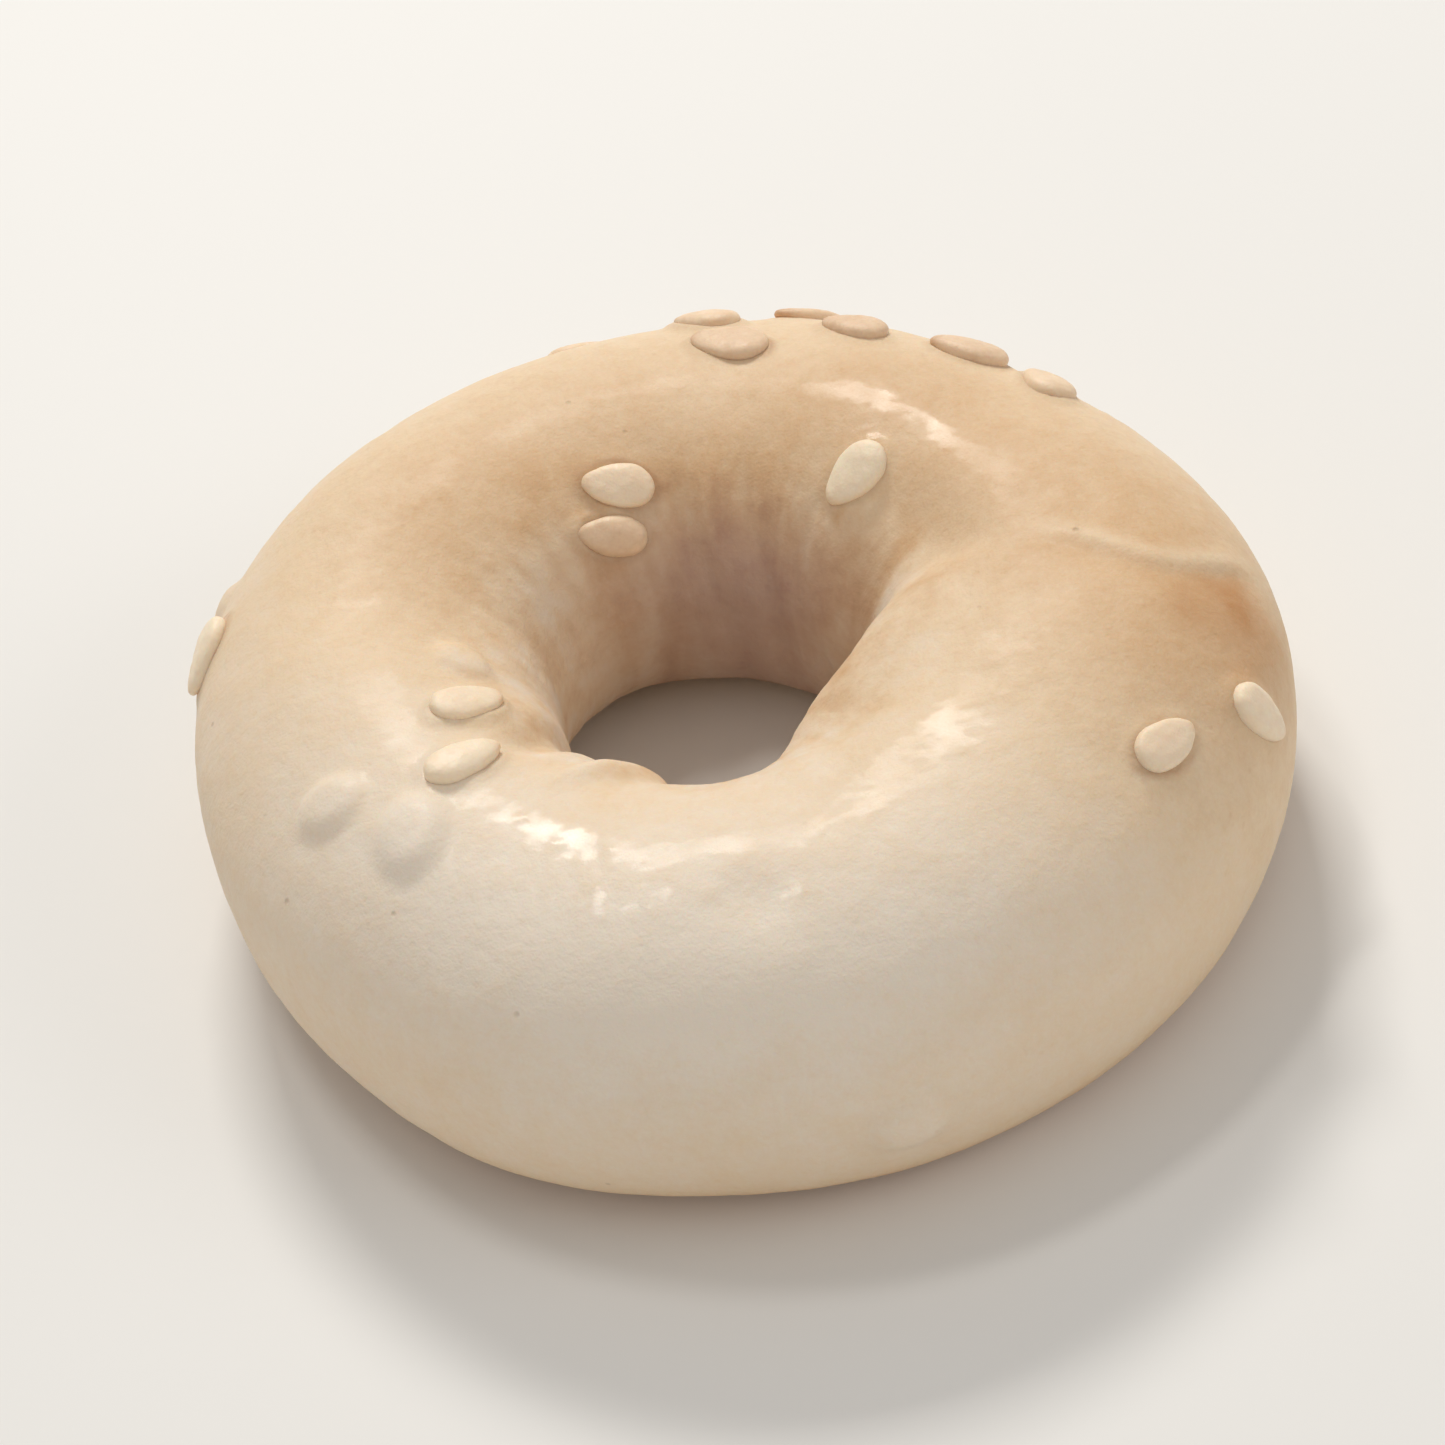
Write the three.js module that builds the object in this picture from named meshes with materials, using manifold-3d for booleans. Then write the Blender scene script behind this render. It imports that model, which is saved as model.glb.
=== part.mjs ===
// A small ring of sweet bread with sesame seeds, in millimetres, +Z up, lying flat as it was baked.
// A rope of dough is bent into a ring and its two ends are pressed together at the right-hand side.
// "around" is the angle round the ring from +X, and "across" is the angle round the rope:
// 0 is the outermost line, 90 the crest, 180 the line nearest the hole and 270 the underside.
import * as THREE from "three";
import { mergeVertices } from "three/addons/utils/BufferGeometryUtils.js";
import Module from "manifold-3d";

// The rope and the ring it is bent into
const RING_RADIUS = 14.3; // of the rope's middle line
const OVAL = { by: 0.59, towards: 126 }; // the ring is a little longer one way
const THREE_SIDED = { by: 0.21, towards: 13 };
const ROPE_HALF_WIDTH = 8.16;
const FATTER = { by: 0.48, towards: -35 }; // the rope is thicker next to the joint
const HEIGHT_SHARE = 0.85; // half the rope's height over half its width
const UNDERSIDE_POWER = 2.8; // 2 is an ellipse, more is squarer
const REST_DEPTH = 6.3; // from the rope's widest level down to the flat underside
const BOX_MIDDLE = { x: 0.763, y: -0.601 }; // middle of the finished ring, seen from above

// Long waves in the rope, which was rolled by hand: how high, how many of them round the ring and
// round the rope, and where each starts
const WAVES = [
  { height: 0.16, round: 2, start: 1.1, over: 1, lean: -0.6 },
  { height: 0.13, round: 5, start: 0.4, over: 1, lean: 1.0 },
  { height: 0.1, round: 3, start: -0.7, over: 2, lean: -Math.PI / 2 },
  { height: 0.06, round: 9, start: 2.0, over: 2, lean: 0.5 },
];

// The joint of the two ends. Each band is a stretch across the rope, in degrees: it rises from
// nothing at the first angle to full at the second, and falls from the third to nothing at the last.
const SEAM = { outside: -6, shoulder: 1.5, slant: [60, 120], back: 10, turnsBack: [135, 190] };
const SEAM_SAG = { by: 3.2, across: 64, reach: 17 }; // it sags a little just outside the crest
const SEAM_FOOT = { by: 2, over: [28, 50] }; // and runs back up at its outer end
const INNER_STEP = { height: 0.42, edge: 0.8, reach: 7.5, sink: 0.75, band: [98, 124, 205, 235] };
const OUTER_LIP = { height: 0.14, past: 0.1, edge: 0.3, reach: 1.1, band: [20, 42, 75, 100] };
const OUTER_HOLLOW = { depth: 0.07, beside: 1.0, reach: 0.9 };
const SHOULDER = { height: 1.6, around: -51, reach: 30, band: [107, 162, 215, 250] };
const SHOULDER_SWING = { by: 32, over: [120, 178] }; // nearer the crest it lies further round
const NEAR_CREST = { height: 0.4, around: -56, reach: 16, across: 115, over: 14 }; // a fuller crest
const NEAR_END = { height: 0.45, around: -16, reach: 22 }; // its outer side swells
const FAR_END = { height: -0.55, around: 38, reach: 20 }; // and the far end is drawn in
const FLANK = [60, 100]; // both fade out between these angles from the outermost line

// Folds pressed into the dough round the hole: degrees around, half width and depth. Two of them have
// less than no depth: there the dough is squeezed up into a ridge and a bulge.
const FOLD_BAND = [105, 135, 200, 230];
const FOLD_WANDER = { by: 0.12, times: 3 }; // each fold winds a little on its way down the hole
const HOLE_FOLDS = [
  { around: 203, reach: 1.1, depth: 0.87 },
  { around: 232, reach: 0.76, depth: -0.59 },
  { around: 249, reach: 0.7, depth: 0.15 },
  { around: 293.5, reach: 1.6, depth: -0.28 },
  { around: 150, reach: 0.8, depth: 0.1 },
  { around: 118, reach: 0.7, depth: 0.1 },
  { around: 98, reach: 0.7, depth: 0.1 },
  { around: 82, reach: 0.6, depth: 0.14 },
  { around: 64, reach: 0.6, depth: 0.18 },
  { around: 44, reach: 0.5, depth: 0.12 },
];

const NARROWEST = 5.5; // lengths along the ring are taken at least this far from its axis

// One thumb-soft dimple on the near crest
const DIMPLE = { around: 269, across: 74, reach: 1.5, depth: 0.28 };

// Sesame seeds: where they lie, the angle that their long axis makes with the rope's run, and a size
// for those that aren't of the usual size
const SEED = { length: 3.3, width: 1.9, thickness: 1.0, taper: 0.24, lift: 0.16, spread: 0.16 };
const SEEN_SEEDS = [
  { around: 78, across: 74, turn: -20, size: 1.2 },
  { around: 82, across: 51, turn: -30 },
  { around: 61, across: 59, turn: -12 },
  { around: 46, across: 49, turn: 20 },
  { around: 34, across: 47, turn: -25 },
  { around: 104, across: 128, turn: -20 },
  { around: 111, across: 143, turn: -22, size: 0.88 },
  { around: 42, across: 118, turn: 72 },
  { around: 175, across: 123, turn: 45, size: 0.75 },
  { around: 194, across: 115, turn: 98 },
  { around: 211, across: 100, turn: 88, size: 1.1 },
  { around: 216, across: 73, turn: -48, size: 1.15 },
  { around: 202, across: 63, turn: 78 },
  { around: 325, across: 48, turn: -18 },
  { around: 337, across: 25, turn: -78 },
  { around: 280, across: -4, turn: -5 },
  { around: 162, across: 27, turn: -35 },
];
const SEED_SPACING = 3.2; // between the middles of any two seeds

// More seeds over the back, each try a fixed stride on from the last. A stride is a share of the span,
// and these three never fall into a pattern. Towards the two ends of the back the seeds lie lower.
const HIDDEN_SEEDS = {
  tries: 24,
  around: { from: 24, span: 138, start: 0.21, stride: 0.618034 },
  across: { from: -8, span: 42, start: 0.4, stride: 0.7549 },
  turn: { from: 0, span: 180, start: 0, stride: 0.5698 },
};

// Fineness of the mesh
const STEPS_AROUND = 120;
const STEPS_ACROSS = 36;
const SEED_FACES = [5, 4]; // sides and rings of each seed
const NUDGE = 1e-3; // radians, for a slope
const NEARBY = 0.01; // radians, for the direction of the surface under a seed
const SAME_POINT = 1e-4; // points of a seed closer than this are one

const radians = (degrees) => (degrees * Math.PI) / 180;
const fraction = (value) => value - Math.floor(value);
const wrapped = (angle) => angle - 2 * Math.PI * Math.round(angle / (2 * Math.PI));
const swell = (distance, reach) => Math.exp(-((distance / reach) ** 2));

// Goes from 0 to 1 as the value goes from one angle, in degrees, to another.
function ease(from, to, value) {
  const share = (value - radians(from)) / radians(to - from);
  const held = Math.min(Math.max(share, 0), 1);
  return held * held * (3 - 2 * held);
}

const inBand = ([start, full, fading, end], across) =>
  ease(start, full, across) * (1 - ease(fading, end, across));

// The rope's plain section: distance from the ring's axis, and height over the widest level.
function ropeSection(around, across) {
  const middle =
    RING_RADIUS +
    OVAL.by * Math.cos(2 * (around - radians(OVAL.towards))) +
    THREE_SIDED.by * Math.cos(3 * (around - radians(THREE_SIDED.towards)));
  const halfWidth = ROPE_HALF_WIDTH + FATTER.by * Math.cos(around - radians(FATTER.towards));
  const power = Math.sin(across) < 0 ? 2 / UNDERSIDE_POWER : 1;
  const rounded = (value) => Math.sign(value) * Math.abs(value) ** power;
  return {
    out: middle + halfWidth * rounded(Math.cos(across)),
    up: HEIGHT_SHARE * halfWidth * rounded(Math.sin(across)),
  };
}

// The rope was rolled by hand, so it is never quite even.
function unevenness(around, across) {
  return WAVES.reduce((sum, wave) => {
    const alongRing = Math.sin(wave.round * around + wave.start);
    return sum + wave.height * alongRing * Math.cos(wave.over * across + wave.lean);
  }, 0);
}

// Where the seam runs: up the outer side, slanting over the crest, back again in the hole.
function seamAngle(across) {
  const slant = (SEAM.shoulder - SEAM.outside) * ease(...SEAM.slant, across);
  const back = SEAM.back * ease(...SEAM.turnsBack, across);
  const sag = SEAM_SAG.by * swell(across - radians(SEAM_SAG.across), radians(SEAM_SAG.reach));
  const foot = SEAM_FOOT.by * (1 - ease(...SEAM_FOOT.over, across));
  return radians(SEAM.outside + slant - back - sag + foot);
}

// Height of the joint over the plain rope. In the hole the near end stands over the far one, and on
// the outer side the far one ends in a low lip with a hollow before it.
function jointRelief(around, across, out) {
  const past = wrapped(around - seamAngle(across)) * Math.max(out, NARROWEST);
  const inside = inBand(INNER_STEP.band, across);
  const outside = inBand(OUTER_LIP.band, across);
  const flank = 1 - ease(...FLANK, Math.abs(wrapped(across)));
  const step = Math.tanh(past / INNER_STEP.edge) + INNER_STEP.sink;
  const lip = Math.tanh((past - OUTER_LIP.past) / OUTER_LIP.edge);
  const swing = SHOULDER_SWING.by * (1 - ease(...SHOULDER_SWING.over, across));
  const fromShoulder = wrapped(around - radians(SHOULDER.around + swing));
  const fromCrest = wrapped(around - radians(NEAR_CREST.around));
  const fuller = swell(across - radians(NEAR_CREST.across), radians(NEAR_CREST.over));
  const fromNearEnd = wrapped(around - radians(NEAR_END.around));
  const fromFarEnd = wrapped(around - radians(FAR_END.around));
  return (
    SHOULDER.height * inBand(SHOULDER.band, across) * swell(fromShoulder, radians(SHOULDER.reach)) +
    NEAR_CREST.height * fuller * swell(fromCrest, radians(NEAR_CREST.reach)) -
    INNER_STEP.height * inside * step * swell(past, INNER_STEP.reach) +
    OUTER_LIP.height * outside * lip * swell(past, OUTER_LIP.reach) -
    OUTER_HOLLOW.depth * outside * swell(past + OUTER_HOLLOW.beside, OUTER_HOLLOW.reach) +
    NEAR_END.height * flank * swell(fromNearEnd, radians(NEAR_END.reach)) +
    FAR_END.height * flank * swell(fromFarEnd, radians(FAR_END.reach))
  );
}

// Depth of the folds round the hole.
function foldRelief(around, across, out) {
  const inside = inBand(FOLD_BAND, across);
  return HOLE_FOLDS.reduce((height, fold) => {
    const wander = FOLD_WANDER.by * Math.sin(FOLD_WANDER.times * across + fold.around);
    const beside = wrapped(around - radians(fold.around) - wander) * Math.max(out, NARROWEST);
    return height - fold.depth * inside * swell(beside, fold.reach);
  }, 0);
}

function dimpleRelief(around, across) {
  const along = wrapped(around - radians(DIMPLE.around)) * RING_RADIUS;
  const over = (across - radians(DIMPLE.across)) * ROPE_HALF_WIDTH;
  return -DIMPLE.depth * swell(Math.hypot(along, over), DIMPLE.reach);
}

// A point of the crust. The angle across is counted from the underside, -90 to 270 degrees.
function crustPoint(around, anyAcross) {
  const across = wrapped(anyAcross - Math.PI / 2) + Math.PI / 2;
  const plain = ropeSection(around, across);
  const before = ropeSection(around, across - NUDGE);
  const after = ropeSection(around, across + NUDGE);
  const slope = Math.hypot(after.out - before.out, after.up - before.up);
  const relief =
    unevenness(around, across) +
    jointRelief(around, across, plain.out) +
    foldRelief(around, across, plain.out) +
    dimpleRelief(around, across);
  const out = plain.out + (relief * (after.up - before.up)) / slope;
  const up = plain.up - (relief * (after.out - before.out)) / slope;
  return new THREE.Vector3(
    out * Math.cos(around) - BOX_MIDDLE.x,
    out * Math.sin(around) - BOX_MIDDLE.y,
    Math.max(up, -REST_DEPTH) + REST_DEPTH,
  );
}

// The crust as a closed grid of triangles, joined to itself both ways round.
function crustGeometry() {
  const positions = [];
  const indices = [];
  for (let i = 0; i < STEPS_AROUND; i += 1) {
    for (let j = 0; j < STEPS_ACROSS; j += 1) {
      const point = crustPoint((2 * Math.PI * i) / STEPS_AROUND, (2 * Math.PI * j) / STEPS_ACROSS);
      positions.push(point.x, point.y, point.z);
      const nextI = (i + 1) % STEPS_AROUND;
      const nextJ = (j + 1) % STEPS_ACROSS;
      const here = i * STEPS_ACROSS + j;
      const ahead = nextI * STEPS_ACROSS + j;
      const over = i * STEPS_ACROSS + nextJ;
      const both = nextI * STEPS_ACROSS + nextJ;
      indices.push(here, ahead, both, here, both, over);
    }
  }
  const geometry = new THREE.BufferGeometry();
  geometry.setAttribute("position", new THREE.Float32BufferAttribute(positions, 3));
  geometry.setIndex(indices);
  return geometry;
}

// A flat drop-shaped seed of about thirty triangles, bedded in the crust at its place.
function seedGeometry(place, index) {
  const usual = 1 + SEED.spread * (fraction(index * HIDDEN_SEEDS.around.stride) - 0.5);
  const size = usual * (place.size ?? 1);
  const drop = new THREE.SphereGeometry(1, ...SEED_FACES);
  drop.deleteAttribute("normal");
  drop.deleteAttribute("uv");
  const points = drop.getAttribute("position");
  for (let k = 0; k < points.count; k += 1) {
    const along = points.getY(k);
    const narrow = 1 - SEED.taper * along;
    points.setXYZ(
      k,
      (along * SEED.length * size) / 2,
      (points.getX(k) * narrow * SEED.width * size) / 2,
      (-points.getZ(k) * narrow * SEED.thickness * size) / 2,
    );
  }
  const around = radians(place.around);
  const across = radians(place.across);
  const point = crustPoint(around, across);
  const run = crustPoint(around + NEARBY, across).sub(crustPoint(around - NEARBY, across)).normalize();
  const over = crustPoint(around, across + NEARBY).sub(crustPoint(around, across - NEARBY)).normalize();
  const out = new THREE.Vector3().crossVectors(run, over).normalize();
  const side = new THREE.Vector3().crossVectors(out, run);
  const turn = radians(place.turn);
  const long = run.clone().multiplyScalar(Math.cos(turn)).addScaledVector(side, Math.sin(turn));
  const wide = new THREE.Vector3().crossVectors(out, long);
  const stand = new THREE.Matrix4().makeBasis(long, wide, out);
  stand.setPosition(point.addScaledVector(out, SEED.lift));
  return mergeVertices(drop.applyMatrix4(stand), SAME_POINT);
}

// The seeds of the far side: each try goes in unless it would touch a seed that is there already.
function allSeedPlaces() {
  const middle = (place) => crustPoint(radians(place.around), radians(place.across));
  const draw = ({ from, span, start, stride }, index, share = 1) =>
    from + span * share * fraction(index * stride + start);
  const places = [...SEEN_SEEDS];
  for (let index = 0; index < HIDDEN_SEEDS.tries; index += 1) {
    const around = draw(HIDDEN_SEEDS.around, index);
    const across = draw(HIDDEN_SEEDS.across, index, Math.sin(radians(around)));
    const place = { around, across, turn: draw(HIDDEN_SEEDS.turn, index) };
    if (places.every((other) => middle(other).distanceTo(middle(place)) > SEED_SPACING)) places.push(place);
  }
  return places;
}

const wasm = await Module();
wasm.setup();

function solidOf(geometry) {
  const mesh = new wasm.Mesh({
    numProp: 3,
    vertProperties: new Float32Array(geometry.getAttribute("position").array),
    triVerts: new Uint32Array(geometry.index.array),
  });
  return new wasm.Manifold(mesh);
}

function geometryOf(solid) {
  const mesh = solid.getMesh();
  const geometry = new THREE.BufferGeometry();
  geometry.setAttribute("position", new THREE.BufferAttribute(mesh.vertProperties, 3));
  geometry.setIndex(new THREE.BufferAttribute(mesh.triVerts, 1));
  geometry.computeVertexNormals();
  return geometry;
}

let bread = solidOf(crustGeometry());
allSeedPlaces().forEach((place, index) => {
  bread = bread.add(solidOf(seedGeometry(place, index)));
});

const crust = new THREE.MeshStandardMaterial({ color: 0xe0c7a0, roughness: 0.5, metalness: 0 });
const ring = new THREE.Mesh(geometryOf(bread), crust);
ring.name = "bread_ring";

const part = new THREE.Group();
part.add(ring);

export default part;
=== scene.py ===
import math

import bpy
import numpy as np
from mathutils import Matrix, Vector


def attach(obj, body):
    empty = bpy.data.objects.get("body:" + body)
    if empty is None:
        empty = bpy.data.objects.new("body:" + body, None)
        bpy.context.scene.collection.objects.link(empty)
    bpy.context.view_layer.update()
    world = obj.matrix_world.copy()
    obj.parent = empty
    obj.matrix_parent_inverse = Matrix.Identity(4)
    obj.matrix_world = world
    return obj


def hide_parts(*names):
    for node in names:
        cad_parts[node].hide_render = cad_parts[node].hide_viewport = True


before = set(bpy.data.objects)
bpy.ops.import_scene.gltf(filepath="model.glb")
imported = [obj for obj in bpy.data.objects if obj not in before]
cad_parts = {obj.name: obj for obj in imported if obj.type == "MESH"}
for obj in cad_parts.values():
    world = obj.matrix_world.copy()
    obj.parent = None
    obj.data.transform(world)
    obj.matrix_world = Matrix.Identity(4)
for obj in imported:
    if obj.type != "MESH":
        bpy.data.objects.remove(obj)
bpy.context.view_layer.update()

# The crust
# A rope of sweet dough, rolled by hand and bent into a ring, its two ends pressed together at +X. It was
# brushed with egg and baked on a tray: golden on top, paler on its flanks, flat and brown underneath.
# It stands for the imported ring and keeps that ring's form.
MM = 0.001


class Wire:
    """An output of a node. A formula of wires reads as one, and adds a Math node for each step."""

    def __init__(self, tree, socket):
        self.tree = tree
        self.socket = socket

    def math(self, operation, *others):
        node = add_node(self.tree, "ShaderNodeMath", operation=operation)
        for socket, value in zip(node.inputs, (self, *others)):
            feed(self.tree, socket, value)
        return Wire(self.tree, node.outputs[0])

    def __add__(self, other):
        return self.math("ADD", other)

    def __sub__(self, other):
        return self.math("SUBTRACT", other)

    def __mul__(self, other):
        return self.math("MULTIPLY", other)

    def __truediv__(self, other):
        return self.math("DIVIDE", other)

    def __pow__(self, other):
        return self.math("POWER", other)

    def between(self, low, high):
        """0 where the value is at the low end or under it, and 1 from the high end up."""
        share = add_node(self.tree, "ShaderNodeMapRange", {"Value": self}, interpolation_type="SMOOTHSTEP")
        share.inputs["From Min"].default_value = low
        share.inputs["From Max"].default_value = high
        return Wire(self.tree, share.outputs[0])


def feed(tree, socket, value):
    """Links a wire or a node's first output to the socket, or sets the socket to a plain value."""
    if isinstance(value, Wire):
        tree.links.new(value.socket, socket)
    elif isinstance(value, bpy.types.Node):
        tree.links.new(value.outputs[0], socket)
    else:
        socket.default_value = value


def add_node(tree, kind, inputs=None, **settings):
    node = tree.nodes.new(kind)
    for name, value in settings.items():
        setattr(node, name, value)
    for name, value in (inputs or {}).items():
        feed(tree, node.inputs[name], value)
    return node


def wire(node, output=0):
    return Wire(node.id_data, node.outputs[output])


def noise(tree, place, spacing, detail=2.0):
    """Soft noise from about -0.5 to 0.5, whose lumps are about this far apart."""
    node = add_node(tree, "ShaderNodeTexNoise", {"Vector": place, "Detail": detail})
    feed(tree, node.inputs["Scale"], spacing**-1)
    return wire(node) - 0.5


def cells(tree, place, spacing):
    """Scattered points about this far apart: the distance to the nearest, and a random number for it."""
    node = add_node(tree, "ShaderNodeTexVoronoi", {"Vector": place})
    feed(tree, node.inputs["Scale"], spacing**-1)
    parts = add_node(tree, "ShaderNodeSeparateXYZ", {"Vector": wire(node, "Color")})
    return wire(node, "Distance"), wire(parts)


def screen(red, green, blue):
    """A colour as a screen shows it, 0 to 255 each, in the linear values that a shader takes."""
    linear = [((level / 255 + 0.055) / 1.055) ** 2.4 for level in (red, green, blue)]
    return (*linear, 1.0)


def ramp(tree, value, stops):
    """Colours along a value: pairs of a value and its colour."""
    node = add_node(tree, "ShaderNodeValToRGB", {"Fac": value})
    for number, (at, colour) in enumerate(stops):
        ends = node.color_ramp.elements
        stop = ends[number] if number < 2 else ends.new(at)
        stop.position = at
        stop.color = colour
    return wire(node)


def blend(tree, share, first, second):
    node = add_node(tree, "ShaderNodeMix", data_type="RGBA")
    for socket, value in ((0, share), (6, first), (7, second)):
        feed(tree, node.inputs[socket], value)
    return Wire(tree, node.outputs[2])


def painted(tree, attribute):
    """The value of an attribute of the mesh, in a material."""
    return wire(add_node(tree, "ShaderNodeAttribute", attribute_name=attribute), "Fac")


def new_material(name):
    material = bpy.data.materials.new(name)
    material.use_nodes = True
    tree = material.node_tree
    place = wire(add_node(tree, "ShaderNodeTexCoord"), "Object")
    return material, tree, tree.nodes["Principled BSDF"], place


def set_surface(tree, surface, inputs):
    for name, value in inputs.items():
        feed(tree, surface.inputs[name], value)


# Baked dough by how far it has browned: 0 is pale cream, 1 the darkest brown.
BAKED = (
    (0.0, screen(239, 226, 208)),
    (1.0, screen(104, 78, 66)),
    (0.25, screen(233, 207, 173)),
    (0.45, screen(217, 180, 138)),
    (0.65, screen(192, 147, 108)),
    (0.85, screen(142, 107, 88)),
)


def crust_material():
    material, tree, surface, place = new_material("egg-washed crust")
    washed = painted(tree, "washed")
    baked_and_painted_light = painted(tree, "baked_and_painted_light")
    seed_rim_brown_and_shade = painted(tree, "seed_rim_brown_and_shade")
    scorched = painted(tree, "scorched")
    hole_shade = painted(tree, "hole_shade")
    blister = painted(tree, "blister")
    wall = painted(tree, "hole wall")
    streak = painted(tree, "streak")
    patches = noise(tree, place, 5 * MM, 3.0)
    mottle = noise(tree, place, 1.5 * MM, 3.0)
    grain = noise(tree, place, 0.38 * MM, 2.0)
    flour = noise(tree, place, 0.13 * MM, 2.0)
    away, freckled = cells(tree, place, 0.55 * MM)
    freckle = (away * -1).between(-0.34, -0.12) * freckled.between(0.5, 0.9)
    blotches = patches * (wall * 0.35 + 0.14) + mottle * (wall * 0.30 + 0.13) + streak * 0.55
    baked_and_painted_light = baked_and_painted_light + blotches + grain * 0.11 + flour * 0.09 + freckle * 0.035 + blister * 0.06
    dough = ramp(tree, baked_and_painted_light, BAKED)
    distance, chance = cells(tree, place, 2.1 * MM)
    pore = (distance * -1).between(-0.085, -0.02) * chance.between(0.62, 0.95)
    dough = blend(tree, pore * 0.35, dough, screen(150, 118, 92))
    # A darker rim round each seed: browned crust and painted shade.
    dough = blend(tree, seed_rim_brown_and_shade * 0.6, dough, screen(164, 116, 78))
    dough = blend(tree, scorched * (mottle * 0.9 + 0.9), dough, screen(193, 138, 86))
    # Painted shade: the dim hole is blended towards a dull grey.
    dough = blend(tree, hole_shade * 0.62, dough, screen(172, 151, 155))
    pool = noise(tree, place, 3.2 * MM, 2.0).between(-0.12, 0.22)
    bumps = grain * 0.034 + mottle * 0.03 + flour * 0.018 - pore * 0.05 - freckle * 0.006
    bump = add_node(tree, "ShaderNodeBump", {"Height": bumps, "Distance": MM})
    ripple = noise(tree, place, 1.0 * MM, 1.0)
    glaze = add_node(tree, "ShaderNodeBump", {"Height": ripple * 0.04, "Distance": MM})
    set_surface(
        tree,
        surface,
        {
            "Base Color": dough,
            "Roughness": washed * -0.08 + mottle * 0.14 + 0.64,
            "Specular IOR Level": 0.4,
            "Normal": bump,
            "Subsurface Weight": 0.22,
            "Subsurface Radius": (1.0, 0.48, 0.22),
            "Subsurface Scale": 1.1 * MM,
            "Coat Weight": washed * (pool * 0.28 + 0.10),
            "Coat Roughness": 0.14,
            "Coat Normal": glaze,
        },
    )
    return material


ROPE = {
    "Steps around": 480,
    "Steps across": 200,
    "Ring radius": 14.3 * MM,
    "Oval by": 0.59 * MM,
    "Oval towards": math.radians(126),
    "Three-sided by": 0.21 * MM,
    "Three-sided towards": math.radians(13),
    "Half width": 8.16 * MM,
    "Fatter by": 0.48 * MM,
    "Fatter towards": math.radians(-35),
    "Height share": 0.85,
    "Underside power": 2.8,
    "Crust": crust_material(),
}


def new_tree(name, sizes):
    """A Geometry Nodes tree with an input for each named size, and a wire from each input."""
    kinds = {int: "Int", float: "Float", bpy.types.Material: "Material"}
    tree = bpy.data.node_groups.new(name, "GeometryNodeTree")
    tree.interface.new_socket("Geometry", in_out="INPUT", socket_type="NodeSocketGeometry")
    tree.interface.new_socket("Geometry", in_out="OUTPUT", socket_type="NodeSocketGeometry")
    for title, value in sizes.items():
        tree.interface.new_socket(title, in_out="INPUT", socket_type="NodeSocket" + kinds[type(value)])
    entry = tree.nodes.new("NodeGroupInput")
    return tree, {socket.name: Wire(tree, socket) for socket in entry.outputs if socket.name}


def close_tree(tree, geometry, material):
    """Ends a tree with real meshes in place of instances, and the material on every face."""
    real = add_node(tree, "GeometryNodeRealizeInstances", {"Geometry": geometry})
    smooth = add_node(tree, "GeometryNodeSetShadeSmooth", {"Geometry": real, "Shade Smooth": True})
    dressed = add_node(tree, "GeometryNodeSetMaterial", {"Geometry": smooth, "Material": material})
    add_node(tree, "NodeGroupOutput", {"Geometry": dressed})
    return tree


def named(tree, attribute, kind="FLOAT"):
    """The value of an attribute, in a Geometry Nodes tree."""
    return wire(add_node(tree, "GeometryNodeInputNamedAttribute", {"Name": attribute}, data_type=kind))


def stored(tree, geometry, attribute, value):
    inputs = {"Geometry": geometry, "Name": attribute, "Value": value}
    return add_node(tree, "GeometryNodeStoreNamedAttribute", inputs, data_type="FLOAT", domain="POINT")


def moved(tree, geometry, **inputs):
    return add_node(tree, "GeometryNodeSetPosition", {"Geometry": geometry, **inputs})


def point(tree, x, y, z):
    return wire(add_node(tree, "ShaderNodeCombineXYZ", {"X": x, "Y": y, "Z": z}))


def grow(piece, tree, sizes):
    """Runs the tree on the piece with these sizes, and keeps what it makes as the piece's plain mesh."""
    modifier = piece.modifiers.new(tree.name, "NODES")
    modifier.node_group = tree
    for item in tree.interface.items_tree:
        if item.name in sizes:
            modifier[item.identifier] = sizes[item.name]
    made = piece.evaluated_get(bpy.context.evaluated_depsgraph_get())
    mesh = bpy.data.meshes.new_from_object(made)
    piece.modifiers.remove(modifier)
    piece.data = mesh


def new_piece(name, mesh=None):
    piece = bpy.data.objects.new(name, mesh or bpy.data.meshes.new(name))
    bpy.context.scene.collection.objects.link(piece)
    return piece


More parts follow.
